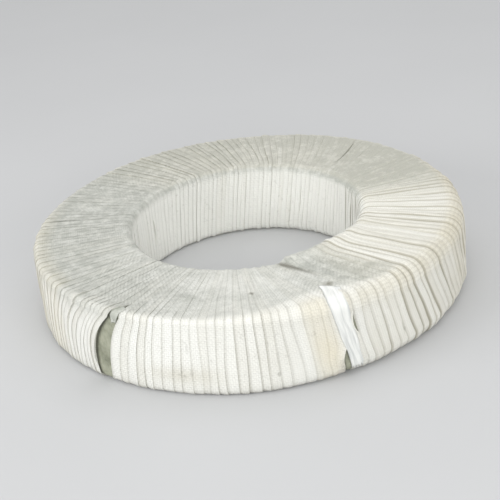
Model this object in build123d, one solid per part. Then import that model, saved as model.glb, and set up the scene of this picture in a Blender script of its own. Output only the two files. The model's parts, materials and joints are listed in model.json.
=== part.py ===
from build123d import *
import math
import os

# A coil of steel strapping, wound in five rows side by side, lying flat in its wrap.
# Millimetres. +Z is the coil's axis. The origin is the centre of the face it lies on,
# and the front of the coil is towards -Y.

# The steel strap and its coil
strap_width = 19.0
row_count = 5
coil_bore_diameter = 305.0
coil_outer_diameter = 551.0
edge_break = 7.5          # the last turns at each corner lie stepped in, which cuts the corner by this much
turn_step = 0.6           # the middle turns are set in from both ends by this much
turn_band_width = 40.0    # width of that band of turns

# The oiled paper laid straight on the steel
paper_thickness = 1.0

# The woven tape wound round the ring over the paper, each turn lapped over the next
tape_thickness = 1.5      # at a turn's free edge, which stands on the next turn
lap_step = 0.8            # height of that edge over the next turn
tape_pitch = 11.2         # from edge to edge, measured round the outside
turn_lean = 0.25          # most that an edge leans on the outside, as run for each unit of height
bore_smooth = 3.0         # the laps run out this far from the bore's bends, where the turns lie tight
bore_sleeve = 2.0         # width of the ring under the laps' ends that joins them to the bore

# The place where two turns of the tape have drawn apart on the outside
gap_angle = -38.5         # from the front, towards +X, at half height
gap_width = 24.0          # at half height
gap_run_out = 45.0        # its edges would meet this far above the wrap and as far below it
gap_reach = 18.0          # depth to which it opens the shoulders

# The white strip that is stuck across the outside and holds the wrap closed
strip_angle = 20.5        # from the front, towards +X, at half height
strip_wide = 20.0
strip_thickness = 0.8
strip_lean = 12.0         # degrees from upright
strip_foot = 3.0          # from the face the coil lies on
strip_return = 7.0        # how far it reaches in over the top shoulder

coil_width = row_count * strap_width
bore_radius = coil_bore_diameter / 2
outer_radius = coil_outer_diameter / 2
wrap_thickness = paper_thickness + tape_thickness
wrapped_outer_radius = outer_radius + wrap_thickness
wrapped_bore_radius = bore_radius - wrap_thickness
wrapped_middle_radius = (wrapped_bore_radius + wrapped_outer_radius) / 2
wrapped_height = coil_width + 2 * wrap_thickness
# a multiple of four, so that the wrapped ring measures the same along X and along Y
turn_count = 4 * round(2 * math.pi * wrapped_outer_radius / tape_pitch / 4)


def bend_at(offset):
    """Leg of the flat that cuts each corner of the section, on the outline that is offset from the steel."""
    return edge_break + offset * (2 - math.sqrt(2))


def ring_outline(offset):
    """Section of the ring, grown by offset all round from the steel, as (radius, height) points."""
    inner, outer = bore_radius - offset, outer_radius + offset
    low, high = wrap_thickness - offset, wrap_thickness + coil_width + offset
    bend = bend_at(offset)
    return [
        (outer, low + bend), (outer, high - bend), (outer - bend, high), (inner + bend, high),
        (inner, high - bend), (inner, low + bend), (inner + bend, low), (outer - bend, low),
    ]


def turned(points):
    """A ring turned about the coil's axis from a section given as (radius, height) points."""
    section = Plane.XZ * Polygon(*points, align=None)
    return revolve(section, Axis.Z)


def strap_coil():
    """The steel itself: one turned solid, whose turns show on its ends as a band that is set in."""
    middle = (bore_radius + outer_radius) / 2
    near, far = middle - turn_band_width / 2, middle + turn_band_width / 2
    coil = turned(ring_outline(0))
    for face, inward in ((wrap_thickness, turn_step), (wrap_thickness + coil_width, -turn_step)):
        outside, floor = face - inward, face + inward
        coil -= turned([(near, outside), (far, outside), (far, floor), (near, floor)])
    return coil


def paper_wrap():
    """The oiled paper: a closed skin of even thickness over the steel."""
    return turned(ring_outline(paper_thickness)) - turned(ring_outline(0))


def lean_at(angle):
    """Lean of an edge on the outside: one way at the front left, the other at the front right, none behind."""
    return turn_lean * math.sin(2 * angle) if math.cos(angle) > 0 else 0.0


def tape_edge(angle, sunk):
    """One edge of a turn as points round the section outside the bore, sunk under the wrap's own outline."""
    outer_half = [point for point in ring_outline(wrap_thickness - sunk) if point[0] > wrapped_middle_radius]
    foot, shoulder, top, base = outer_half
    run_out = wrapped_bore_radius + bend_at(wrap_thickness) + bore_smooth
    inside = run_out - bore_sleeve
    points = []
    for radius, height in (foot, shoulder, top, (run_out, wrapped_height), (inside, wrapped_height), (inside, 0),
                           (run_out, 0), base):
        turn = angle + lean_at(angle) * (wrapped_height / 2 - height) / wrapped_outer_radius
        points.append((radius * math.sin(turn), -radius * math.cos(turn), height))
    return points


def flats_between(edge, following):
    """The faces from one edge line to the next: flat triangles, two for each stretch where the lines are apart."""
    faces = []
    for a, b, c, d in zip(edge, edge[1:] + edge[:1], following[1:] + following[:1], following):
        faces += [Face(Wire.make_polygon(corners)) for corners in ([a, b, c], [a, c, d]) if len(set(corners)) == 3]
    return faces


def lapped_turns():
    """All turns: each band rises from under the turn before to its free edge, then steps down to the next."""
    edges = []
    for turn in range(turn_count):
        angle = 2 * math.pi * turn / turn_count
        edges += [tape_edge(angle, 0), tape_edge(angle, lap_step)]
    faces = []
    for edge, following in zip(edges, edges[1:] + edges[:1]):
        faces += flats_between(edge, following)
    return Solid(Shell(faces))


def bore_ring():
    """The inner part of the wrap, turned true: the bore, its bends and the ends as far as the laps run out."""
    reach = wrapped_bore_radius + bend_at(wrap_thickness) + bore_smooth - bore_sleeve / 2
    inner_half = [point for point in ring_outline(wrap_thickness) if point[0] < wrapped_middle_radius]
    top, shoulder, foot, base = inner_half
    return turned([(reach, 0), (reach, wrapped_height), top, shoulder, foot, base])


def gap_cutter():
    """A leaning lens, widest at half height, pushed in through the tape on the outside."""
    half = wrapped_height / 2
    with BuildSketch(Plane.XZ) as lens:
        with BuildLine():
            upper, lower = (0, half + gap_run_out), (0, -half - gap_run_out)
            ThreePointArc(upper, (-gap_width / 2, 0), lower)
            ThreePointArc(lower, (gap_width / 2, 0), upper)
        make_face()
    reach = extrude(lens.sketch, 2 * wrapped_outer_radius)
    lean = math.degrees(math.atan(lean_at(math.radians(gap_angle))))
    reach = Rotation(0, 0, gap_angle) * Pos(0, 0, half) * Rotation(0, -lean, 0) * reach
    return reach - Cylinder(wrapped_outer_radius - gap_reach, 4 * wrapped_height)


def tape_wrap():
    """The woven tape's lapped turns as one closed skin over the paper, open where two turns part."""
    skin = lapped_turns() + bore_ring()
    return skin - [gap_cutter(), turned(ring_outline(paper_thickness))]


def closing_strip():
    """The strip that holds the wrap closed: leaning, flat on the outside and bent in along the top shoulder."""
    band = turned(ring_outline(wrap_thickness + strip_thickness)) - turned(ring_outline(wrap_thickness))
    band -= Cylinder(wrapped_outer_radius - strip_return, 4 * wrapped_height)
    reach = Plane.XZ * Rotation(0, 0, strip_lean) * Rectangle(strip_wide, 2 * wrapped_height)
    slab = extrude(reach, 2 * wrapped_outer_radius)
    band &= Rotation(0, 0, strip_angle) * Pos(0, 0, wrapped_height / 2) * slab
    return split(band, Plane.XY.offset(strip_foot), keep=Keep.TOP)


def save(shape, name):
    export_step(shape, f"parts/{name}.step", write_pcurves=False)
    print(name, "volume mm3", round(shape.volume), "box", shape.bounding_box())


os.makedirs("parts", exist_ok=True)
save(strap_coil(), "strap_coil")
save(paper_wrap(), "paper_wrap")
save(tape_wrap(), "tape_wrap")
save(closing_strip(), "closing_strip")
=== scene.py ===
import bpy
import json
import numpy as np
from math import pi, radians
from mathutils import Matrix, Vector


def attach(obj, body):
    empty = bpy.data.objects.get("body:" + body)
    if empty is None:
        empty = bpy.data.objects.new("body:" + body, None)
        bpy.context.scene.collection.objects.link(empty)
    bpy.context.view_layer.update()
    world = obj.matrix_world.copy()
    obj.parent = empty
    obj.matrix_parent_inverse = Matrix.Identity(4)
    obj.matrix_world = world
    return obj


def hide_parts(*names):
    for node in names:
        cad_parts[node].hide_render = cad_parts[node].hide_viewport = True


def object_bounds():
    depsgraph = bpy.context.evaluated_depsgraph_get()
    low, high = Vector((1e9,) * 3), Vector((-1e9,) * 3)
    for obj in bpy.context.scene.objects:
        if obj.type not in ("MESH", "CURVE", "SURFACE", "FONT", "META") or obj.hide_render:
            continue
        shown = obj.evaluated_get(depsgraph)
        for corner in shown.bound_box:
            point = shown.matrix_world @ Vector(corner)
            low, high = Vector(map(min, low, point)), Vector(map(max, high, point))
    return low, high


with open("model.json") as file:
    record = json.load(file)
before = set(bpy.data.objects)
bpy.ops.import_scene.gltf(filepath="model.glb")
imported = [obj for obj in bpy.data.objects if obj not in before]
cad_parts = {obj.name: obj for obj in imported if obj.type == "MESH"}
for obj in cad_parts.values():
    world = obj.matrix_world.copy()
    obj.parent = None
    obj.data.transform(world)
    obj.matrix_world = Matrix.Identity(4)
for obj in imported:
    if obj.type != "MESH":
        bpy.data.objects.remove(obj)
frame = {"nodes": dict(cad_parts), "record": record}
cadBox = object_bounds()
print("frame loaded")

# The wrapped ring, read from the frame: half its width, its height, and its bore from the record's mount
ring = {
    "outer": (cadBox[1].x - cadBox[0].x) / 2,
    "height": cadBox[1].z - cadBox[0].z,
    "bore": next(m for m in frame["record"]["mounts"] if m["name"] == "bore")["dims"]["r_mm"] / 1000,
    # radius of the section's two outer bends, at (degrees from the front, metres): the wrap is slack over
    # the right shoulder
    "corner": [(-180, .010), (-120, .009), (-60, .007), (-20, .007), (0, .008), (12, .013), (24, .0155),
               (45, .0175), (70, .018), (100, .0175), (130, .014), (155, .011)],
    # the same of the two bends at the bore
    "boreCorner": [(-180, .010), (-60, .008), (0, .008), (60, .013), (120, .011)],
    # how far the slack wrap stands off at the right
    "slack": [(-180, 0), (-60, 0), (8, 0), (24, .0006), (40, .0014), (65, .0020), (95, .0018), (130, .0004)],
    "usualBend": 0.01,            # bend radius for which lengths along the section are measured
    "bendRows": 7,
    "curveSteps": 720,            # steps round the coil for the curves through such pairs
    "blurSteps": 61,              # and how many of them each is blurred over
}


# From 0 at low to 1 at high, with soft ends.
def ramp(x, low, high):
    t = np.clip((x - low) / (high - low), 0, 1)
    return t * t * (3 - 2 * t)


# Up from 0 to 1 over one pair of values, and down again over the other.
def stretch(x, up, down):
    return ramp(x, *up) * (1 - ramp(x, *down))


# A bell curve: 1 at its middle, and a third of that one width away.
def hill(x, middle, width):
    return np.exp(-((x - middle) / width) ** 2)


# Section of the wrapped ring as a closed line: up the outside, across the top, down the bore, underneath.
# Every point is a place on the sharp rectangle plus two slopes, which the radii of the outer and of the
# bore's bends multiply, so they may differ round the coil. On a straight run each end moves in by its
# bend's radius, and on a bend the point is the arc's, seen from the corner.
def sectionLine(rows):
    inner, outer, high = ring["bore"], ring["outer"], ring["height"]
    atOuter, atBore = np.array([[1], [0]]), np.array([[0], [1]])
    # each side's starting radius and height, its direction, its length, and the bends at its two ends
    sides = [
        (outer, 0, 0, 1, high, atOuter, atOuter),
        (outer, high, -1, 0, outer - inner, atOuter, atBore),
        (inner, high, 0, -1, high, atBore, atBore),
        (inner, 0, 1, 0, outer - inner, atBore, atOuter),
    ]
    place, slope, normal = [], [], []
    for (r0, z0, dr, dz, length, start, end), count in zip(sides, rows):
        t = np.linspace(0, 1, count, endpoint=False)[:, None]
        ahead, out = np.array([dr, dz]), np.array([dz, -dr])
        place.append(np.array([r0, z0]) + ahead * length * t)
        slope.append(ahead * (start * (1 - t[..., None]) - end * t[..., None]))
        normal.append(np.tile(out, (count, 1)))
        a = np.linspace(0, pi / 2, ring["bendRows"], endpoint=False)[:, None]
        arc = out * np.cos(a) + ahead * np.sin(a)
        place.append(np.tile(np.array([r0, z0]) + ahead * length, (len(a), 1)))
        slope.append((arc - out - ahead)[:, None] * end)
        normal.append(arc)
    place, slope, normal = (np.concatenate(part) for part in (place, slope, normal))
    usual = place + ring["usualBend"] * slope.sum(axis=1)
    step = np.linalg.norm(np.roll(usual, -1, axis=0) - usual, axis=1)
    run = np.concatenate([[0], np.cumsum(step)])
    return place[:, None], slope.reshape(-1, 1, 4), normal[:, None], run


# Radius and height of the section's points at any angle round the coil, pushed out along the normal.
def onSection(line, angle, lift):
    place, slope, normal = line[:3]
    corner = aroundCoil(angle, ring["corner"])
    boreCorner = aroundCoil(angle, ring["boreCorner"])
    lift = lift + aroundCoil(angle, ring["slack"])
    radius, height = (
        place[..., k] + corner * slope[..., k] + boreCorner * slope[..., 2 + k] + lift * normal[..., k]
        for k in (0, 1)
    )
    return radius, np.maximum(height, 0.0)


# A smooth closed curve round the coil through a few (degrees from the front, value) pairs: straight from
# one to the next, in steps over three circles, then blurred.
def aroundCoil(angle, pairs):
    at, value = np.array(pairs).T
    at = np.radians(at)
    at = np.concatenate([at - 2 * pi, at, at + 2 * pi])
    value = np.tile(value, 3)
    fine = np.linspace(-3 * pi, 3 * pi, 3 * ring["curveSteps"] + 1)
    rough = np.interp(fine, at, value)
    window = np.hanning(ring["blurSteps"])
    smooth = np.convolve(rough, window / window.sum(), mode="same")
    return np.interp((angle + pi) % (2 * pi) - pi, fine, smooth)


# Smooth noise on a closed grid: a sum of sine waves, with whole numbers of cycles both ways drawn from the
# two ranges, and phases drawn too.
def closedNoise(rng, u, v, waves, cyclesU, cyclesV):
    total = np.zeros(np.broadcast(u, v).shape)
    for _ in range(waves):
        ku = rng.integers(cyclesU[0], cyclesU[1] + 1)
        kv = rng.integers(cyclesV[0], cyclesV[1] + 1)
        total = total + np.sin(2 * pi * (ku * u + kv * v) + rng.uniform(0, 2 * pi)) * rng.choice([-1, 1])
    return total / np.sqrt(waves)


def addObject(name, data):
    thing = bpy.data.objects.new(name, data)
    bpy.context.collection.objects.link(thing)
    return thing


# A mesh from a grid of points: quads between neighbouring rows and columns, closed round either way. Index
# says which point each grid place uses, so two places can share one, and a quad that has a point twice
# becomes a triangle. Quads that aren't kept are left out. A shade has one value a point or a quad's corner.
def gridMesh(name, points, shades, closeRows=True, index=None, keep=None, uv=None):
    rows, columns = points.shape[:2]
    if index is None:
        index = np.arange(rows * columns).reshape(rows, columns)
    if closeRows:
        index = np.concatenate([index, index[:1]], axis=0)
    index = np.concatenate([index, index[:, :1]], axis=1)
    quads = np.stack([index[:-1, :-1], index[:-1, 1:], index[1:, 1:], index[1:, :-1]], axis=-1)
    kept = np.ones(quads.shape[:2], bool) if keep is None else keep
    quads = quads[kept]
    single = quads != np.roll(quads, -1, axis=1)
    used, loops = np.unique(quads[single], return_inverse=True)
    faces = [face.tolist() for face in np.split(loops.ravel(), np.cumsum(single.sum(axis=1))[:-1])]
    mesh = bpy.data.meshes.new(name)
    mesh.from_pydata(points.reshape(-1, 3)[used].tolist(), [], faces)
    if uv is not None:
        layer = mesh.uv_layers.new(name="tapeMap")
        layer.data.foreach_set("uv", uv[kept][single].ravel().astype(np.float32))
    for key, value in shades.items():
        atCorners = value.ndim == 3
        value = value[kept][single] if atCorners else value.ravel()[used]
        layer = mesh.attributes.new(key, "FLOAT", "CORNER" if atCorners else "POINT")
        layer.data.foreach_set("value", value.astype(np.float32))
    mesh.polygons.foreach_set("use_smooth", np.ones(len(mesh.polygons), bool))
    return addObject(name, mesh), used


# Place on the ring: angle from the front towards +X, radius and height.
def toPoint(angle, radius, height):
    return np.stack([radius * np.sin(angle), -radius * np.cos(angle), height], axis=-1)


# The woven tape's turns
tape = {
    "turns": 156, "seed": 11,
    "rows": (24, 22, 16, 10),     # up the outside, over the top, down the bore and underneath
    "pitchSpread": 0.20,          # share by which the turns' spacing varies
    "stepHeight": 0.0012,         # how far each turn's free edge stands over the next turn
    "stepSpread": 0.45,           # share by which that varies from turn to turn
    "stepWaver": 0.3,             # and along a turn
    "stepRange": (0.0003, 0.0030),
    "footDepth": 0.0008,          # foot of that step, under the ring's own outline
    "edgeOver": 0.0005,           # how far a free edge reaches over the next turn
    "edgeWander": 0.0011, "fineWander": 0.6, "boreWander": 0.45,
    "swell": 0.0005, "pucker": 0.0003, "thickness": 0.0009,
    # noises: how many waves, and their cycles round the coil and along the section
    "wanderWaves": (14, (5, 40), (-4, 4)), "fineWaves": (10, (40, 78), (-2, 2)),
    "stepWaves": (16, (8, 60), (-5, 5)), "swellWaves": (10, (1, 6), (-2, 2)),
    "puckerWaves": (14, (30, 110), (-6, 6)),
    "deepest": 0.0014,            # no deeper than this under the outline, where the paper starts
    # at an opening the edges, and the skin that joins them, go in under the paper
    "underPaper": 0.0024, "tuckedShare": 0.35, "tuckedMost": 0.003, "edgeStart": 0.0003,
    "boreTurn": 0.4,              # share of the turn at the bore that is left underneath
    "boreRound": 0.8,             # how round the bands are in the bore
    "boreSpan": 0.02,             # and how far outside it that ends
    "topFrom": (0.006, 0.020),    # how far inside the outer radius the weaker steps of the top begin
    "mapShift": 0.37,             # a turn's shift along its weave, as a share of the one across
    # the bulge over the bore's upper edge: where that is along the section, height, width, and the degrees
    # over which it rises and falls
    "boreEdge": 0.214, "bulge": 0.0065, "bulgeWide": 0.016, "bulgeAlong": ((12, 16.5), (32, 78)),
    # across each band: where it comes out from under the turn before, its slope, its free edge, the next
    # foot, and the height there of a flat band and of one that is round like a rope
    "across": (0.0, 0.07, 0.3, 0.6, 0.88, 1.0, 1.0),
    "flat": (0.0, 0.08, 0.34, 0.66, 0.97, 0.94, 0.0),
    "rope": (0.0, 0.40, 0.84, 1.0, 0.84, 0.52, 0.0),
    "curled": (0.15, 0.7, 1.0),   # share of an opening's curl at the three places before the next foot
    # how far an edge moves towards +angle from the top of the outside to its foot, as a share of the height
    "lean": [(-180, .08), (-120, 0), (-85, -.12), (-62, -.28), (-48, -.34), (-40, -.31), (-33, -.20),
             (-26, -.10), (-12, -.05), (5, .05), (15, .13), (30, .16), (45, .30), (60, .30), (80, .15),
             (120, .05)],
    # power of the height that this follows: over 1, it bends near the shoulder and runs straight below
    "bend": [(-180, 1), (-85, 1.2), (-60, 2.4), (-38, 2.6), (-28, 1.4), (-15, 1), (180, 1)],
    # degrees by which an edge on the top is turned from the radius, outer end towards +angle
    "tilt": [(-180, 11), (-150, 12), (-120, 6), (-90, 0), (-60, -4), (-30, -2), (0, 6), (20, 20), (40, 8),
             (60, 0), (80, -5), (110, 8), (140, 14)],
    # share of each band's section that is round like a rope's, not flat, and how strong its step is
    "round": [(-180, .35), (-120, .2), (-60, .2), (0, .2), (20, .45), (38, .95), (95, .9), (130, .5)],
    "strong": [(-180, .9), (-120, .55), (-60, .6), (0, .8), (20, 1.1), (40, 1.8), (95, 1.7), (130, 1.0)],
    # how much of that strength is left on the top
    "onTop": [(-180, 1.1), (-150, 1), (-120, .5), (-60, .4), (-20, .55), (20, .7), (40, 1), (95, 1),
              (140, 1.1)],
    # free edges that stand higher than the rest, at (degrees, metres)
    "highEdges": [(-58, .0016), (-47, .0006), (52, .0004), (96, .0010), (171, .0008), (-150, .0008)],
}

# Places where two turns have drawn apart: degrees from the front, the stretch along the section in metres
# from the foot of the outer face (0.10 to 0.21 is the top, 0.22 to 0.30 the bore), width, how far the free
# edge curls up, how many turns before it are pushed together, and the slant. The first is the wide one.
openings = [
    (-39.3, -0.040, 0.110, 0.0235, 0.0034, 9, 0.9),
    (20.6, -0.026, 0.032, 0.0110, 0.0018, 3, 1.0),
    (23.3, 0.042, 0.076, 0.0040, 0.0018, 0, 1.0),
    (36.0, 0.010, 0.034, 0.0016, 0.0008, 0, 1.0),
    (131.8, 0.098, 0.150, 0.0016, 0.0008, 0, 1.0),
    (137.4, 0.104, 0.186, 0.0042, 0.0016, 0, 1.0),
    (65.0, 0.140, 0.175, 0.0022, 0.0012, 0, 1.0),
    (-99.0, 0.100, 0.140, 0.0024, 0.0012, 0, 1.0),
    (-122.0, 0.240, 0.275, 0.0018, 0.0010, 0, 1.0),
    (147.0, 0.232, 0.285, 0.0014, 0.0008, 0, 1.0),
]


# Edge of every turn: its place round the coil, moved by the lean on the outside, by the tilt on the top,
# and back again through the bore and underneath, with a little wander of its own.
def turnEdges(line, rng):
    place, run = line[0], line[3]
    spacing = 1 + tape["pitchSpread"] * rng.uniform(-1, 1, tape["turns"])
    base = 2 * pi * np.concatenate([[0], np.cumsum(spacing)[:-1]]) / spacing.sum() - pi
    lean = aroundCoil(base, tape["lean"]) * ring["height"] / ring["outer"]
    tilt = np.tan(np.radians(aroundCoil(base, tape["tilt"])))
    share = np.clip(place[..., 1] / ring["height"], 0, 1) ** aroundCoil(base, tape["bend"])
    inwards = np.log(ring["outer"] / place[..., 0])
    whole = np.log(ring["outer"] / ring["bore"])
    onTop = -lean / 2 - tilt * inwards
    atBore = -lean / 2 - tilt * whole
    below = lean / 2 * (1 - inwards / whole) + tape["boreTurn"] * atBore * inwards / whole
    shift = onTop * share + below * (1 - share)
    u = np.arange(tape["turns"]) / tape["turns"]
    v = (run[:-1] / run[-1])[:, None]
    wander = closedNoise(rng, u, v, *tape["wanderWaves"]) * tape["edgeWander"]
    fine = closedNoise(rng, u, v, *tape["fineWaves"]) * tape["edgeWander"] * tape["fineWander"]
    wander = wander + fine
    return base + shift + wander / ring["outer"] * (1 - tape["boreWander"] * inwards / whole)


# How the turns lie beside an opening
parting = {
    "lens": 0.75,                 # power of the half sine that is an opening's outline: under 1, it is fuller
    "belowFoot": 0.15,            # the section counts as below the foot from this far past its half way
    "curlPower": 0.7, "curlFrom": (0.004, 0.024), "curlUnder": 0.04,
    "pushPower": 1.5,             # how fast the push fades from turn to turn
    "least": 1e-4,                # radians from which on two turns count as apart
}


# Width of an opening at each row of the section: a lens, with one end blunter than the other by its slant.
# The last part of the section, underneath, counts as below the foot.
def openingWidth(run, low, high, widest, slant):
    place = run[:-1].copy()
    place[place > run[-1] / 2 + parting["belowFoot"]] -= run[-1]
    t = np.clip((place - low) / (high - low), 0, 1)
    return widest * np.sin(pi * t ** slant) ** parting["lens"] * (t > 0) * (t < 1)


# At each opening the turn before stands back by the opening's width, its free edge curls up, though not
# near the foot, and the turns behind it are pushed together, less and less.
def partTurns(near, run, radiusOf):
    spread = np.zeros(near.shape)
    curl = np.zeros(near.shape)
    openEdges = []
    underneath = run[:-1] > run[-1] - parting["curlUnder"]
    clearOfFoot = np.where(underneath, 0, ramp(run[:-1], *parting["curlFrom"]))
    for degrees, low, high, widest, curls, pushed, slant in openings:
        width = openingWidth(run, low, high, widest, slant)
        middle = int(np.argmax(width))
        after = int(np.argmin(np.abs(near[middle] - radians(degrees))))
        spread[:, after - 1] = width / radiusOf[:, 0]
        curl[:, after - 1] = curls * (width / widest) ** parting["curlPower"] * clearOfFoot
        for back in range(1, pushed + 1):
            push = (1 - back / (pushed + 1)) ** parting["pushPower"]
            near[:, after - back] -= width / radiusOf[:, 0] * push
        openEdges.append((run[:-1], near[:, after] - spread[:, after - 1], width))
    return spread, curl, openEdges


# Height of every turn's step along the section: the usual height times the turn's own boldness, times the
# strength at that angle, higher at a few edges, wavering along the turn, and weaker on the top.
def stepHeights(near, line, bold, rng):
    place, run = line[0], line[3]
    turns = len(bold)
    onFace = near[tape["rows"][0] // 2]
    step = tape["stepHeight"] * (1 + tape["stepSpread"] * bold) * aroundCoil(onFace, tape["strong"])
    for degrees, extra in tape["highEdges"]:
        step[np.argmin(np.abs(onFace - radians(degrees)))] += extra
    u, v = np.arange(turns) / turns, (run[:-1] / run[-1])[:, None]
    step = step * (1 + tape["stepWaver"] * closedNoise(rng, u, v, *tape["stepWaves"]))
    inset = ring["outer"] - place[..., 0]
    top = (place[..., 1] > 0.99 * ring["height"]) * ramp(inset, *tape["topFrom"])
    step = step * (1 - top * (1 - aroundCoil(onFace, tape["onTop"])))
    return np.clip(step, *tape["stepRange"])


# Each turn is a band from its own edge to the next: it rises by its step, a mix of the flat and the round
# section, and drops to the foot of the next.
def layBands(near, spread, line, bold, rng):
    radiusOf = line[0][..., 0]
    along = line[3][:-1, None, None]
    far = np.roll(near, -1, axis=1)
    far[:, -1] += 2 * pi
    far = far - spread
    across, flat, rope = (np.array(tape[key]) for key in ("across", "flat", "rope"))
    inBore = np.clip((ring["bore"] + tape["boreSpan"] - radiusOf) / tape["boreSpan"], 0, 1)
    roundness = np.maximum(aroundCoil(near, tape["round"]), tape["boreRound"] * inBore)[..., None]
    rise = flat * (1 - roundness) + rope * roundness
    angle = near[..., None] + (far - near)[..., None] * across
    angle[..., -2] += tape["edgeOver"] / radiusOf
    lift = stepHeights(near, line, bold, rng)[..., None] * rise - tape["footDepth"]
    # the same along the whole ring: a slow swell, and puckers of a few turns each
    u, v = (angle + pi) / (2 * pi), along / line[3][-1]
    swell = closedNoise(rng, u, v, *tape["swellWaves"]) * tape["swell"]
    pucker = closedNoise(rng, u, v, *tape["puckerWaves"]) * tape["pucker"]
    lift = np.maximum(lift + swell + pucker, -tape["deepest"])
    # right of the cleft the slack wrap bulges over the bore's upper edge
    alongBulge = stretch(np.degrees(angle), *tape["bulgeAlong"])
    return angle, lift + tape["bulge"] * alongBulge * hill(along, tape["boreEdge"], tape["bulgeWide"])


# At an opening the free edge curls up over its own underside, and the next turn starts on the paper. The
# angles and the lifts are changed in place.
def openBands(near, spread, isOpen, curl, radiusOf, angle, lift):
    afterOpen = np.roll(isOpen, 1, axis=1)
    lift[..., -4:-1] += curl[..., None] * np.array(tape["curled"])
    tucked = np.minimum(tape["tuckedShare"] * spread, tape["tuckedMost"] / radiusOf)
    angle[..., -1] -= np.where(isOpen, tucked, 0)
    lift[..., -1] = np.where(isOpen, -tape["underPaper"], np.roll(lift[..., 0], -1, axis=1))
    lift[..., 0] = np.where(afterOpen, -tape["underPaper"], lift[..., 0])
    lift[..., 1] = np.where(afterOpen, tape["thickness"] - tape["deepest"], lift[..., 1])
    angle[..., 1] = np.where(afterOpen, near + tape["edgeStart"] / radiusOf, angle[..., 1])


# The tape as one closed grid, and the line of the left edge of every opening for the paper under it. Bands
# share the points of their common edge, except where they have parted.
def makeTape():
    rng = np.random.default_rng(tape["seed"])
    line = sectionLine(tape["rows"])
    run, radiusOf = line[3], line[0][..., 0]
    near = turnEdges(line, rng)
    spread, curl, openEdges = partTurns(near, run, radiusOf)
    isOpen = spread > parting["least"]
    turns, rows, columns = tape["turns"], len(near), len(tape["across"])
    bold = rng.uniform(-1, 1, turns)
    angle, lift = layBands(near, spread, line, bold, rng)
    openBands(near, spread, isOpen, curl, radiusOf, angle, lift)
    wide = turns * columns
    turnId = np.repeat(np.arange(turns), columns)
    index = np.arange(rows * wide).reshape(rows, turns, columns)
    index[..., -1] = np.where(isOpen, index[..., -1], np.roll(index[..., 0], -1, axis=1))
    angle, lift, index = (part.reshape(rows, wide) for part in (angle, lift, index))
    radius, height = onSection(line, angle, lift)
    points = toPoint(angle, radius, height)
    keep = np.ones(points.shape[:2], bool)
    keep[:, columns - 1::columns] = isOpen | np.roll(isOpen, -1, axis=0)
    # flat map of the tape: metres across it and along it, with a shift of its own for every turn
    acrossTape = (angle - near[:, turnId]) * radiusOf
    shiftOf = rng.uniform(0, 1, turns)[turnId]
    along = np.broadcast_to(run[:-1, None], acrossTape.shape)
    alongShift = tape["mapShift"] * shiftOf
    uv = np.stack([cornersOf(acrossTape + shiftOf), cornersOf(along + alongShift, run[-1])], axis=-1)
    inTurn = np.broadcast_to(np.tile(tape["across"], turns), acrossTape.shape)
    tone = np.broadcast_to(rng.uniform(-1, 1, turns)[turnId], acrossTape.shape)
    shades = {"place": cornersOf(inTurn), "tone": cornersOf(tone)}
    shades.update(soiling(angle, radius, height))
    shades["lines"] = shades["lines"] * (1 + soil["linesByTurn"] * bold[turnId])
    piece, used = gridMesh("tapeWrap", points, shades, True, index, keep, uv)
    creaseFeet(piece.data, (used % columns == 0) | (used % columns == columns - 2))
    print("tape laid:", turns, "turns,", len(piece.data.polygons), "faces")
    return piece, openEdges


# The lines along each turn's free edge and along the foot under it are sharp creases.
def creaseFeet(mesh, onLine):
    ends = np.empty(len(mesh.edges) * 2, np.int32)
    mesh.edges.foreach_get("vertices", ends)
    sharp = onLine[ends.reshape(-1, 2)].all(axis=1)
    layer = mesh.attributes.new("sharp_edge", "BOOLEAN", "EDGE")
    layer.data.foreach_set("value", sharp)


# Value of a grid at the corners of every quad. Where the grid closes, the next row's is the length on.
def cornersOf(value, length=0.0):
    nextRow = np.roll(value, -1, axis=0).copy()
    nextRow[-1] += length
    return np.stack([value, np.roll(value, -1, axis=1), np.roll(nextRow, -1, axis=1), nextRow], axis=-1)


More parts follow.
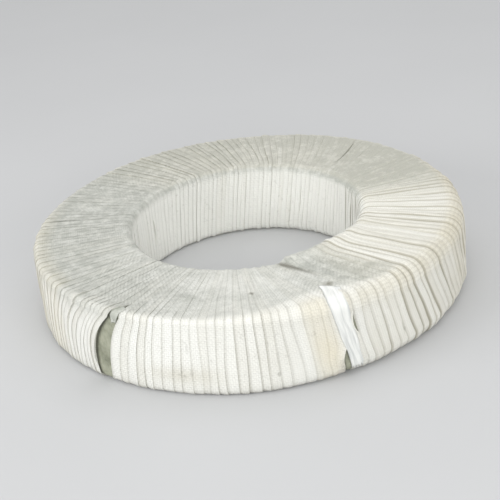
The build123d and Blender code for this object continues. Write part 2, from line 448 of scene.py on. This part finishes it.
# What soils the tape, and where painted shade and painted light lie on it, in degrees from the front and
# metres. A pair is where a soft step begins and ends, or the middle and the width of a hill.
soil = {
    "face": (0.03, 0.010),        # the outside counts from this far inside its radius, and fully from there
    "bore": (0.001, 0.006),       # the bore counts up to this far out from its radius, and fades up to there
    "topEdge": (0.012, 0.003),    # the top counts from this far below its height, and fully from there
    "behind": (105, 150),         # degrees either way from the front where behind begins, and is full
    "right": ((18, 40), (105, 135)),
    # yellow stain beside the strip, which leans and is strongest low down, and weaker tinges elsewhere
    "stainAt": 15.4, "stainWide": 3.6, "stainLean": 40, "stainMiddle": 0.05,
    "stainUpper": 0.45, "stainLow": (0.04, 0.03),
    "leftTinge": 0.35, "leftFrom": ((-120, -90), (-60, -56)),
    "rightTinge": 0.5, "rightFrom": ((44, 66), (100, 130)),
    "warm": 0.25, "warmRight": (22, 34), "warmBack": (120, 150),
    "footDirt": 0.006,            # height at which the dirt along the foot has faded to a third
    # scuffed stretch low down at the front
    "scuff": 0.7, "scuffAt": (-20, 9), "scuffUp": (0.027, 0.012),
    # how much darker the top shoulder is, partly soiled from handling and partly painted shade that tones
    # down the bend's highlight, at (degrees from the front, share)
    "rimSoilAndShade": [(-180, .4), (-110, .4), (-80, .15), (-25, .05), (0, .05), (12, .2), (24, .85), (38, .65),
            (56, 1.1), (95, .9), (130, .5)],
    # share by which painted light lightens the bore's tape
    "rimWide": 0.017, "boreLightened": 0.3,
    # grey patch on the top's front right, painted shade of a facet that faces up, with a painted shadow along
    # its fold: x of its point, length, y and half width there, and their change
    "patchFrom": 0.033, "patchLong": 0.125, "patchY": -0.152, "patchTurn": -0.072,
    "patchHalf": 0.004, "patchOpens": 0.034, "patchPower": 0.8, "patchShade": 1.1,
    "patchSide": (0.8, 1.15), "patchEnds": ((-0.02, 0.08), (0.85, 1.2)),
    "foldWide": 0.0048, "foldEnds": ((-0.05, 0.02), (0.12, 0.40)),
    # how far inside the outer radius the top's dust, which is also painted shade, starts
    "dustStart": [(-180, .004), (-60, .002), (-10, .003), (4, .012), (13, .038), (20, .034), (27, .016),
                  (40, .012), (70, .010), (120, .006)],
    "dustEdge": (-0.003, 0.010),
    # where it is thin: the right part, left lighter as painted light, the front, and the inner front left
    "bright": 0.9, "brightFrom": ((30, 40), (84, 108)),
    "thinFront": 0.4, "thinFrontAt": (-2, 30),
    "thinLeft": 0.26, "thinLeftAt": (-57, 30), "thinLeftRadius": (0.180, 0.022),
    # its two rings at the front, thicker outside and thinner inside: share, radius, width
    "rings": [(0.35, 0.226, 0.009), (-0.32, 0.190, 0.013)], "ringsAt": (-14, 17),
    # where it is thick: over the left shoulder, behind towards the outside, and in two hills at the back
    "leftRim": 0.58, "leftRimFrom": ((-102, -76), (-40, -28)), "leftRimWide": 0.013,
    "outerBack": 0.28, "outerBackRadius": (0.20, 0.25), "innerBack": 0.12,
    "backHills": [(0.28, 120, 26), (0.10, -155, 24)],
    # how strongly the painted shade along the line under each turn shows, and the painted shade between the
    # weave's ribbons
    "lines": 0.4, "linesLessOnTop": 0.28, "linesBehind": 1.6, "linesRight": 1.45, "linesInBore": 0.3,
    "linesLessInPatch": 0.7, "linesByTurn": 0.6,
    "weave": 0.22, "weaveRight": 0.4, "weaveLessOnTop": 0.5,
}


# Yellow stain: the largest of a leaning band beside the strip and of the weaker tinges. The band is a hill
# with a flat top, and leans by so many degrees for each metre up.
def stainShare(degrees, height, onFace, inBore):
    slanted = degrees - soil["stainLean"] * (soil["stainMiddle"] - height)
    lowDown = soil["stainUpper"] + (1 - soil["stainUpper"]) * hill(height, *soil["stainLow"])
    beside = np.exp(-(np.abs(slanted - soil["stainAt"]) / soil["stainWide"]) ** 3) * lowDown
    left = soil["leftTinge"] * stretch(degrees, *soil["leftFrom"])
    right = soil["rightTinge"] * stretch(degrees, *soil["rightFrom"])
    warm = soil["warm"] * np.maximum(ramp(degrees, *soil["warmRight"]), ramp(-degrees, *soil["warmBack"]))
    return np.maximum(np.maximum(np.maximum(beside, left), right) * onFace, warm * (1 - inBore))


# The grey patch, painted shade of a facet that faces up, is the stretch between two lines that meet in a
# point at the bore, and the painted shadow of a fold lies along the one in front.
def patchShares(angle, radius):
    x, y = radius * np.sin(angle), -radius * np.cos(angle)
    along = (x - soil["patchFrom"]) / soil["patchLong"]
    inside = np.clip(along, 0, 1)
    middle = soil["patchY"] + soil["patchTurn"] * inside
    half = soil["patchHalf"] + soil["patchOpens"] * inside ** soil["patchPower"]
    patch = 1 - ramp(np.abs(y - middle) / half, *soil["patchSide"])
    fold = hill(y, middle - half, soil["foldWide"]) * stretch(along, *soil["foldEnds"])
    return patch * stretch(along, *soil["patchEnds"]), fold


# Dust that has settled on the top, and painted shade that greys the top: full where the top is, times one
# factor for each place where it is thin or thick, and down over the left shoulder at least as thick as there.
def dustAndShadeShare(degrees, radius, fromCorner, onTop, behind):
    # thinner on the right part of the top, which is painted light
    dustAndShade = onTop * (1 - soil["bright"] * stretch(degrees, *soil["brightFrom"]))
    dustAndShade = dustAndShade * (1 - soil["thinFront"] * hill(degrees, *soil["thinFrontAt"]))
    rings = sum(share * hill(radius, middle, wide) for share, middle, wide in soil["rings"])
    dustAndShade = dustAndShade * (1 + rings * hill(degrees, *soil["ringsAt"]))
    leftRim = soil["leftRim"] * stretch(degrees, *soil["leftRimFrom"])
    dustAndShade = np.maximum(dustAndShade, leftRim * hill(fromCorner, 0, soil["leftRimWide"]))
    outwards = soil["outerBack"] * ramp(radius, *soil["outerBackRadius"]) - soil["innerBack"]
    dustAndShade = dustAndShade * (1 + behind * outwards)
    dustAndShade = dustAndShade * (1 + sum(share * hill(degrees, middle, wide) for share, middle, wide in soil["backHills"]))
    thinLeft = hill(degrees, *soil["thinLeftAt"]) * hill(radius, *soil["thinLeftRadius"])
    return dustAndShade * (1 - soil["thinLeft"] * thinLeft)


# Masks on the tape, each a soft-edged region in degrees from the front, radius and height. Grey is the
# shoulder, soiled from handling and darkened by painted shade, and the scuff, less the bore, whose tape is
# lightened as painted light.
def soiling(angle, radius, height):
    outer, top, bore = ring["outer"], ring["height"], ring["bore"]
    degrees = (np.degrees(angle) + 180) % 360 - 180
    onFace = ramp(radius, *(outer - inset for inset in soil["face"]))
    inBore = 1 - ramp(radius, *(bore + inset for inset in soil["bore"]))
    inside = outer - radius - aroundCoil(angle, soil["dustStart"])
    onTop = ramp(height, *(top - inset for inset in soil["topEdge"])) * ramp(inside, *soil["dustEdge"])
    behind = ramp(np.abs(degrees), *soil["behind"])
    right = stretch(degrees, *soil["right"])
    fromCorner = np.hypot(outer - radius, top - height)
    patch, fold = patchShares(angle, radius)
    dustAndShade = dustAndShadeShare(degrees, radius, fromCorner, onTop, behind)
    # the shoulder: soil from handling, and painted shade that tones down the bend's highlight
    rimSoilAndShade = aroundCoil(angle, soil["rimSoilAndShade"]) * hill(fromCorner, 0, soil["rimWide"])
    scuff = soil["scuff"] * hill(degrees, *soil["scuffAt"]) * hill(height, *soil["scuffUp"]) * onFace
    # how strongly the painted shade along each turn's line shows, by region
    lines = soil["lines"] - soil["linesLessOnTop"] * onTop * (1 - soil["linesBehind"] * behind)
    lines = np.maximum(np.maximum(lines, soil["linesRight"] * right), soil["linesInBore"] * inBore)
    return {
        "stain": stainShare(degrees, height, onFace, inBore),
        "foot": np.exp(-height / soil["footDirt"]) * onFace,
        # the grey patch is painted shade on the top
        "dustAndShade": np.maximum(dustAndShade, soil["patchShade"] * patch * onTop),
        "fold": fold * onTop,
        # painted light lightens the bore's tape
        "grey": rimSoilAndShade + scuff - soil["boreLightened"] * inBore,
        "lines": lines * (1 - soil["linesLessInPatch"] * patch * onTop),
        # how strongly the painted shade between the ribbons shows
        "weaveShadeSeen": soil["weave"] + soil["weaveRight"] * right * (1 - soil["weaveLessOnTop"] * onTop),
    }


# Small helpers for node trees. Each value is a number, or the output of another node, which is then linked.
def addNode(tree, kind, values=None, **settings):
    node = tree.nodes.new(kind)
    for key, value in settings.items():
        setattr(node, key, value)
    for key, value in (values or {}).items():
        if isinstance(value, bpy.types.NodeSocket):
            tree.links.new(value, node.inputs[key])
        else:
            node.inputs[key].default_value = value
    return node


def calc(tree, operation, a, b=0.0, clamp=False):
    node = addNode(tree, "ShaderNodeMath", {0: a, 1: b}, operation=operation, use_clamp=clamp)
    return node.outputs[0]


def vectorCalc(tree, operation, a, b=(0, 0, 0)):
    return addNode(tree, "ShaderNodeVectorMath", {0: a, 1: b}, operation=operation).outputs


# Two colours mixed: the share is the second one's.
def mixColour(tree, share, a, b):
    return addNode(tree, "ShaderNodeMix", {"Factor": share, 6: a, 7: b}, data_type="RGBA").outputs[2]


# A value carried from one range to another, and held at its ends.
def remap(tree, value, low, high, toLow=0.0, toHigh=1.0):
    values = {"Value": value, "From Min": low, "From Max": high, "To Min": toLow, "To Max": toHigh}
    return addNode(tree, "ShaderNodeMapRange", values).outputs[0]


def noiseAt(tree, place, scale, detail, roughness=0.5, distortion=0.0):
    values = {"Vector": place, "Scale": scale, "Detail": detail}
    values.update({"Roughness": roughness, "Distortion": distortion})
    return addNode(tree, "ShaderNodeTexNoise", values).outputs["Fac"]


# Humps in a row, each as wide as given: a sine wave without its sign.
def humps(tree, length, wide):
    return calc(tree, "ABSOLUTE", calc(tree, "SINE", calc(tree, "MULTIPLY", length, pi / wide)))


def objectPlace(tree):
    return addNode(tree, "ShaderNodeTexCoord").outputs["Object"]


def attribute(tree, name):
    return addNode(tree, "ShaderNodeAttribute", None, attribute_name=name).outputs["Fac"]


# How much of a layer shows: its mask on the mesh, times a share.
def masked(tree, name, share):
    return calc(tree, "MULTIPLY", attribute(tree, name), share)


# Colour and bumps into the shader. A bump is (height, metres it stands for, strength) and lies on the last.
def coat(tree, shader, base, *bumps):
    tree.links.new(base, shader.inputs["Base Color"])
    below = {}
    for height, distance, strength in bumps:
        values = {"Height": height, "Distance": distance, "Strength": strength, **below}
        below = {"Normal": addNode(tree, "ShaderNodeBump", values).outputs[0]}
        tree.links.new(below["Normal"], shader.inputs["Normal"])


# Roughness that a noise raises from the least.
def varyRoughness(tree, shader, noise, least, more):
    rough = calc(tree, "ADD", calc(tree, "MULTIPLY", noise, more), least)
    tree.links.new(rough, shader.inputs["Roughness"])


# sRGB as seen, 0 to 255, to the linear colour that the shader takes.
def colour(r, g, b):
    c = np.array([r, g, b]) / 255
    linear = np.where(c <= 0.04045, c / 12.92, ((c + 0.055) / 1.055) ** 2.4)
    return (*linear.tolist(), 1.0)


def newMaterial(name, roughness, specular=0.5):
    material = bpy.data.materials.new(name)
    material.use_nodes = True
    tree = material.node_tree
    shader = tree.nodes["Principled BSDF"]
    shader.inputs["Roughness"].default_value = roughness
    shader.inputs["Specular IOR Level"].default_value = specular
    return material, tree, shader


# The tape's material. A noise is (scale, detail, roughness), a range (from low, high, to low, high), and a
# bump (metres, strength).
weave = {
    "ribbon": 0.0028,             # width of the weave's ribbons
    "pale": colour(248, 248, 242), "shade": colour(222, 219, 206), "stain": colour(238, 227, 196),
    # the dirt colour also paints the shade between the ribbons
    "dirtAndShade": colour(140, 137, 124), "foldShadow": colour(108, 105, 93),
    # the groove colour is painted shade, and the dust colour also paints shade on the top
    "dustAndShade": colour(186, 188, 180), "grooveShade": colour(168, 165, 152),
    "stainShare": 0.5, "foldShare": 0.9, "footShare": 0.5,
    "cloud": (9.0, 4.0, 0.6), "uneven": (0.45, 0.75, 0.0, 0.3),
    "turnTone": (-1.0, 1.0, -0.12, 0.3),
    # painted shade across each band, darkest where it comes out from under the turn before
    "fromUnder": (0.0, 0.4, 0.9, 0.0),  # darkness across a band, from where it comes out
    "blotch": (85.0, 5.0, 0.75), "mottle": (0.37, 0.63, 0.53, 1.08),
    "fine": (160.0, 3.0, 0.7), "grime": (0.60, 0.85, 0.0, 0.4),
    # painted shade between the ribbons, darker where the weave lies lower
    "between": (0.1, 0.75, 0.4, 0.0),   # darkness between the ribbons, by their height
    "crease": (60.0, 5.0, 0.6), "creaseBump": (0.0012, 0.5), "ribbonBump": (0.0005, 0.8),
    "roughness": (0.36, 0.25),
}

# Small marks on the wrap: degrees from the front, radius, height, size across, stretch up, how dark
marks = [
    (-1.1, 0.220, 0.100, 0.0036, 1.0, 0.8),
    (20.8, 0.236, 0.100, 0.0065, 1.0, 0.8),
    (-17.6, 0.279, 0.063, 0.0024, 3.0, 0.35),
    (-21.4, 0.279, 0.064, 0.0019, 2.6, 0.25),
    (-20.4, 0.279, 0.028, 0.0028, 0.8, 0.35),
    (-19.0, 0.279, 0.027, 0.0028, 0.8, 0.40),
    (-17.3, 0.279, 0.032, 0.0026, 2.2, 0.35),
    (3.3, 0.279, 0.024, 0.0026, 1.2, 0.7),
    (19.4, 0.279, 0.014, 0.0080, 1.4, 0.5),
    (37.0, 0.280, 0.030, 0.0024, 1.5, 0.5),
    (-44.0, 0.279, 0.004, 0.0030, 1.0, 0.7),
]
markEdge = {"full": 0.3, "gone": 1.2, "noise": (190.0, 2.0), "ragged": (0.25, 0.5)}


# Plain weave of flat ribbons, over one, under one: humps along the tape or across it, by turns.
def weaveHeight(tree, ribbon):
    uv = addNode(tree, "ShaderNodeUVMap", None, uv_map="tapeMap").outputs[0]
    split = addNode(tree, "ShaderNodeSeparateXYZ", {0: uv})
    acrossTape, alongTape = (humps(tree, split.outputs[k], ribbon) for k in (0, 1))
    scaled = addNode(tree, "ShaderNodeMapping", {"Vector": uv, "Scale": (1 / ribbon, 1 / ribbon, 1)})
    checks = addNode(tree, "ShaderNodeTexChecker", {"Vector": scaled.outputs[0], "Scale": 1.0})
    over = checks.outputs["Fac"]
    under = calc(tree, "SUBTRACT", 1.0, over)
    acrossTape = calc(tree, "MULTIPLY", acrossTape, over)
    return calc(tree, "ADD", acrossTape, calc(tree, "MULTIPLY", alongTape, under))


# Each mark is a soft ball about its place, stretched up and broken by noise. The darkest one counts.
def markShare(tree, here):
    total = 0.0
    for degrees, radius, height, size, up, dark in marks:
        place = Vector(toPoint(radians(degrees), radius, height))
        away = vectorCalc(tree, "SUBTRACT", here, place)[0]
        squeezed = vectorCalc(tree, "MULTIPLY", away, (1, 1, 1 / up))[0]
        far = vectorCalc(tree, "LENGTH", squeezed)["Value"]
        share = remap(tree, far, markEdge["full"] * size, markEdge["gone"] * size, dark, 0.0)
        total = calc(tree, "MAXIMUM", share, total)
    wobble = noiseAt(tree, here, *markEdge["noise"])
    return calc(tree, "MULTIPLY", total, remap(tree, wobble, *markEdge["ragged"]))


# Woven tape: pale, greyer where it is soiled and a little from turn to turn, darker on the shoulder partly as
# painted shade and lighter in the bore as painted light. Over that in layers: painted shade along the line
# under each turn, dust in blotches of about a turn's width that also paints shade on the top, the stain, the
# painted shadow of a fold, the other dirt, painted shade between the ribbons, and the marks.
def tapeMaterial():
    material, tree, shader = newMaterial("wovenTape", 0.5, 0.35)
    here = objectPlace(tree)
    cloud = noiseAt(tree, here, *weave["cloud"])
    toneShare = remap(tree, attribute(tree, "tone"), *weave["turnTone"])
    greying = calc(tree, "ADD", remap(tree, cloud, *weave["uneven"]), toneShare)
    # grey holds the shoulder's soil and painted shade, the scuff, and painted light that lightens the bore
    greying = calc(tree, "ADD", greying, attribute(tree, "grey"), clamp=True)
    fade = remap(tree, attribute(tree, "place"), *weave["fromUnder"])
    mottle = remap(tree, noiseAt(tree, here, *weave["blotch"]), *weave["mottle"])
    grime = remap(tree, noiseAt(tree, here, *weave["fine"]), *weave["grime"])
    height = weaveHeight(tree, weave["ribbon"])
    between = remap(tree, height, *weave["between"])
    base = mixColour(tree, greying, weave["pale"], weave["shade"])
    layers = [
        # painted shade along the line under each turn
        (calc(tree, "MULTIPLY", fade, attribute(tree, "lines"), clamp=True), "grooveShade"),
        # dust on the top, also painted shade
        (masked(tree, "dustAndShade", mottle), "dustAndShade"),
        (masked(tree, "stain", weave["stainShare"]), "stain"),
        # painted shadow along the patch's fold
        (masked(tree, "fold", weave["foldShare"]), "foldShadow"),
        (grime, "dirtAndShade"),
        (masked(tree, "foot", weave["footShare"]), "dirtAndShade"),
        # painted shade between the ribbons
        (masked(tree, "weaveShadeSeen", between), "dirtAndShade"),
        (markShare(tree, here), "dirtAndShade"),
    ]
    for share, layer in layers:
        base = mixColour(tree, share, base, weave[layer])
    crease = noiseAt(tree, here, *weave["crease"])
    coat(tree, shader, base, (crease, *weave["creaseBump"]), (height, *weave["ribbonBump"]))
    varyRoughness(tree, shader, cloud, *weave["roughness"])
    return material


# The oiled paper, seen in the open place: the section's outline set in, with crumples across it. Painted
# shadow darkens it along the left edge of each opening, where the free edge stands over it. Values are kept
# as for the tape.
paper = {
    "inset": 0.0018, "rows": (60, 18, 12, 12), "columns": 640, "seed": 5,
    "crumple": 0.00022, "waves": (24, (40, 150), (-12, 12)),
    # the columns stand this much closer together at the two widest openings, over so many degrees
    "crowd": 3, "crowdWide": 5, "crowdSteps": 7201,
    # painted shadow along an opening's left edge, under the free edge: its width, the opening width at which
    # it is full, and its share
    "shadeWidth": 0.0026, "shadeFrom": 0.002, "shadeShare": 0.85,
    "pale": colour(172, 174, 154), "dark": colour(120, 123, 104), "shade": colour(52, 52, 42),
    "blot": (45.0, 5.0, 0.65), "blotRange": (0.38, 0.68), "roughness": (0.3, 0.3),
    "crease": (140.0, 4.0, 0.5, 1.2), "creaseBump": (0.0012, 0.8),
}


def makePaper(openEdges):
    rng = np.random.default_rng(paper["seed"])
    line = sectionLine(paper["rows"])
    run = line[3]
    u = np.arange(paper["columns"]) / paper["columns"]
    v = (run[:-1] / run[-1])[:, None]
    fine = np.linspace(-pi, pi, paper["crowdSteps"])
    crowd = sum(hill(np.degrees(fine), opening[0], paper["crowdWide"]) for opening in openings[:2])
    crowd = 1 + paper["crowd"] * crowd
    share = np.cumsum(crowd) - crowd[0]
    at = np.interp(u, share / share[-1], fine)
    crumple = closedNoise(rng, u, v, *paper["waves"]) * paper["crumple"]
    angle = np.broadcast_to(at, crumple.shape)
    radius, height = onSection(line, angle, crumple - paper["inset"])
    shade = np.zeros(crumple.shape)
    # painted shadow along the left edge of each opening, where the free edge stands over the paper
    for place, edge, width in openEdges:
        away = (angle - np.interp(run[:-1], place, edge)[:, None]) * ring["outer"]
        wide = np.interp(run[:-1], place, width)[:, None]
        shade = np.maximum(shade, hill(away, 0, paper["shadeWidth"]) * ramp(wide, 0, paper["shadeFrom"]))
    piece = gridMesh("paperWrap", toPoint(angle, radius, height), {"underEdgeShadow": shade})[0]
    print("paper laid:", len(piece.data.polygons), "faces")
    return piece


def paperMaterial(name, sheet):
    material, tree, shader = newMaterial(name, 0.42)
    here = objectPlace(tree)
    blot = noiseAt(tree, here, *paper["blot"])
    base = mixColour(tree, remap(tree, blot, *paper["blotRange"]), sheet["pale"], sheet["dark"])
    # painted shadow under the free edges of the openings
    base = mixColour(tree, masked(tree, "underEdgeShadow", paper["shadeShare"]), base, paper["shade"])
    coat(tree, shader, base, (noiseAt(tree, here, *paper["crease"]), *paper["creaseBump"]))
    varyRoughness(tree, shader, blot, *paper["roughness"])
    return material


# The white strip that closes the wrap, and a torn scrap of thin paper that hangs in the top of the open
# place. Each follows a line of (metres along the section from the foot of the outer face, degrees from the
# front, width), and its upper end is cut on the slant.
strip = {
    "name": "closingStrip", "rise": 0.0018, "thickness": 0.0007, "folds": 0.0004, "ragged": 0.005,
    "slant": -0.010, "rows": 70, "columns": 22,
    "line": [(-0.006, 22.8, 0.015), (0.033, 21.3, 0.018), (0.068, 19.7, 0.020), (0.090, 19.1, 0.022),
             (0.116, 20.5, 0.027)],
    "white": colour(244, 245, 241), "shade": colour(198, 201, 199),
    "streak": (2.2, 4.0), "streakRange": (0.42, 0.72), "streakBump": (0.001, 0.5),
}
scrap = {
    "name": "tornScrap", "rise": -0.0004, "thickness": 0.0004, "folds": 0.0003, "ragged": 0.009,
    "slant": -0.004, "rows": 30, "columns": 14,
    "line": [(0.070, -36.6, 0.007), (0.088, -36.0, 0.013), (0.104, -35.2, 0.018)],
    "pale": colour(222, 224, 217), "dark": colour(180, 183, 173),
}
# What both have in common. Waves are in radians: across from the middle to a side, up over the length.
bands = {
    "sectionRows": (200, 200, 20, 20), "slantPower": 6,
    "fold": 8, "foldBend": 1.2, "foldBendUp": 4,     # wide folds, and how they wind
    "fineShare": 0.4, "fine": 19, "fineUp": 3,       # fine ones between them
    "flatter": 0.75, "flatterPower": 4,              # towards the upper end
    "waver": 0.05, "waverUp": 17, "waverAcross": 2,  # of the sides, as a share of half the width
    "sideDown": 0.6, "sidePower": 8,                 # share of the rise by which the sides bend down
    "tear": 7.3, "tearStart": 1, "tearFades": 26,    # the ragged lower end
}


# A band that follows the section along its line. Across it go a wide and a fine sine wave as lengthwise
# folds, and another lifts its lower end. Its two faces share the points of their ends and sides, so it is
# closed all round.
def makeBand(band):
    line = sectionLine(bands["sectionRows"])
    run = line[3]
    up = np.linspace(0, 1, band["rows"])[:, None]
    a = np.linspace(-1, 1, band["columns"])[None, :]
    at, degrees, widths = zip(*band["line"])
    s = at[0] + (at[-1] - at[0]) * up + band["slant"] * a * up ** bands["slantPower"]
    places = np.concatenate([run[:-1] - run[-1], run[:-1]])
    fine = [
        np.stack([np.interp(s, places, np.tile(column, 2)) for column in part[:, 0].T], axis=-1)
        for part in line[:3]
    ]
    folds = np.sin(a * bands["fold"] + bands["foldBend"] * np.sin(up * bands["foldBendUp"]))
    folds = folds + bands["fineShare"] * np.sin(a * bands["fine"] + up * bands["fineUp"])
    folds = band["folds"] * folds * (1 - bands["flatter"] * up ** bands["flatterPower"])
    sides = a + bands["waver"] * np.sin(up * bands["waverUp"] + a * bands["waverAcross"])
    across = np.interp(s, at, widths) / 2 / ring["outer"] * sides
    angle = radians(1) * np.interp(s, at, degrees) + across
    face = band["rise"] + folds - bands["sideDown"] * band["rise"] * a ** bands["sidePower"]
    torn = np.abs(np.sin(a * bands["tear"] + bands["tearStart"]))
    ragged = band["ragged"] * torn * np.exp(-up * bands["tearFades"])
    layers = []
    for lift in (face, face - band["thickness"]):
        radius, height = onSection(fine, angle, lift)
        layers.append(toPoint(angle, radius, height + ragged))
    loop = np.concatenate([layers[0], layers[1][:, -2:0:-1]], axis=1)
    index = np.arange(loop.shape[0] * loop.shape[1]).reshape(loop.shape[:2])
    for end in (0, -1):
        index[end, band["columns"]:] = index[end, 1:band["columns"] - 1][::-1]
    over = np.concatenate([a, a[:, -2:0:-1]], axis=1)
    shades = {"acrossBand": np.broadcast_to(over, index.shape), "upBand": np.broadcast_to(up, index.shape)}
    piece = gridMesh(band["name"], loop, shades, False, index)[0]
    print(band["name"], "laid:", len(piece.data.polygons), "faces")
    return piece


# White strip: streaks that run along its length, as colour and as a bump.
def stripMaterial():
    material, tree, shader = newMaterial("whiteStrip", 0.35)
    bandMap = {0: attribute(tree, "acrossBand"), 1: attribute(tree, "upBand")}
    streak = addNode(tree, "ShaderNodeCombineXYZ", bandMap).outputs[0]
    noise = noiseAt(tree, streak, *strip["streak"])
    base = mixColour(tree, remap(tree, noise, *strip["streakRange"]), strip["white"], strip["shade"])
    coat(tree, shader, base, (noise, *strip["streakBump"]))
    return material


# Blued, oiled strap steel: fine rings for the turns' edges, with a film of oil.
steel = {
    "dark": colour(58, 62, 64), "light": colour(96, 101, 104), "metallic": 0.9,
    "turn": 0.0008, "turnBump": (0.0004, 0.6), "oil": (25.0, 4.0),
}


def steelMaterial():
    material, tree, shader = newMaterial("oiledSteel", 0.34)
    shader.inputs["Metallic"].default_value = steel["metallic"]
    here = objectPlace(tree)
    split = addNode(tree, "ShaderNodeSeparateXYZ", {0: here})
    flat = addNode(tree, "ShaderNodeCombineXYZ", {0: split.outputs[0], 1: split.outputs[1]})
    radius = vectorCalc(tree, "LENGTH", flat.outputs[0])["Value"]
    rings = humps(tree, radius, steel["turn"])
    share = calc(tree, "MULTIPLY", rings, noiseAt(tree, here, *steel["oil"]))
    base = mixColour(tree, share, steel["dark"], steel["light"])
    coat(tree, shader, base, (rings, *steel["turnBump"]))
    return material


# The volume that a closed mesh holds is a third of the sum of area times the centre's distance along the
# normal. Where it comes out negative the mesh is inside out.
def faceOutwards(piece):
    mesh = piece.data
    count = len(mesh.polygons)
    centre, normal, area = np.empty(count * 3), np.empty(count * 3), np.empty(count)
    mesh.polygons.foreach_get("center", centre)
    mesh.polygons.foreach_get("normal", normal)
    mesh.polygons.foreach_get("area", area)
    volume = np.sum((centre * normal).reshape(-1, 3).sum(axis=1) * area) / 3
    if volume < 0:
        mesh.flip_normals()
    print(piece.name, "holds", round(abs(volume) * 1e6, 2), "cm3", "and is turned" if volume < 0 else "")


# Normals outwards, the material, the body it rides on, and the CAD's nodes that it replaces.
def dress(piece, material, slotName, *nodes):
    faceOutwards(piece)
    piece.data.materials.clear()
    piece.data.materials.append(material)
    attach(piece, "root")
    if nodes:
        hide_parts(*nodes)


# Studio: a pale floor, two wide soft lights in front, to the left and to the right, a weak one overhead,
# and an even sky. The camera stands in front of the coil.
studio = {
    "floor": colour(204, 205, 206), "floorShade": 0.95, "floorNoise": (3.0, 3.0), "reach": 14.0, "sky": 0.72,
    # name, place, size and power
    "lights": [
        ("leftLight", (-2.30, -0.95, 1.1), (1.6, 1.0), 21.5),
        ("rightLight", (0.60, -2.35, 1.1), (2.0, 0.8), 22.5),
        ("topLight", (0.3, 0.3, 2.4), (2.4, 2.4), 13.0),
    ],
    "lightsAim": (0, 0, 0.05),
    "distance": 1.447, "eye": 0.769, "aim": (0.0, 0.0, 0.045), "roll": -6.9, "lens": 88.0,
}


def aimAt(thing, place, target, roll=0.0):
    direction = Vector(target) - Vector(place)
    turn = direction.to_track_quat("-Z", "Y").to_matrix() @ Matrix.Rotation(radians(roll), 3, "Z")
    thing.location = place
    thing.rotation_euler = turn.to_euler()


def addLight(name, place, size, power):
    data = bpy.data.lights.new(name, "AREA")
    data.shape = "RECTANGLE"
    data.size, data.size_y = size
    data.energy = power
    aimAt(addObject(name, data), place, studio["lightsAim"])


def makeFloor():
    reach = studio["reach"]
    corners = [(-reach, -reach, 0), (reach, -reach, 0), (reach, reach, 0), (-reach, reach, 0)]
    mesh = bpy.data.meshes.new("floor")
    mesh.from_pydata(corners, [], [(0, 1, 2, 3)])
    floor = addObject("floor", mesh)
    material, tree, shader = newMaterial("paleFloor", 0.8, 0.2)
    noise = noiseAt(tree, objectPlace(tree), *studio["floorNoise"])
    darker = tuple(studio["floorShade"] * c for c in studio["floor"][:3]) + (1.0,)
    coat(tree, shader, mixColour(tree, noise, studio["floor"], darker))
    mesh.materials.append(material)


def makeStudio():
    makeFloor()
    for light in studio["lights"]:
        addLight(*light)
    world = bpy.data.worlds.new("sky")
    bpy.context.scene.world = world
    world.use_nodes = True
    sky = world.node_tree.nodes["Background"]
    sky.inputs["Color"].default_value = (1, 1, 1, 1)
    sky.inputs["Strength"].default_value = studio["sky"]
    data = bpy.data.cameras.new("camera")
    data.lens = studio["lens"]
    camera = addObject("camera", data)
    aimAt(camera, (0, -studio["distance"], studio["eye"]), studio["aim"], studio["roll"])
    bpy.context.scene.camera = camera
    bpy.context.scene.view_settings.view_transform = "Standard"
    print("studio set")


makeStudio()
tapePiece, openEdges = makeTape()
dress(tapePiece, tapeMaterial(), "woven_tape", "tape_wrap")
paperPiece = makePaper(openEdges)
dress(paperPiece, paperMaterial("oiledPaper", paper), "oiled_paper", "paper_wrap")
stripPiece = makeBand(strip)
dress(stripPiece, stripMaterial(), "white_strip", "closing_strip")
scrapPiece = makeBand(scrap)
dress(scrapPiece, paperMaterial("tornPaper", scrap), "oiled_paper")
steelSlots = frame["nodes"]["strap_coil"].data.materials
steelSlots.clear()
steelSlots.append(steelMaterial())
print("pieces dressed")
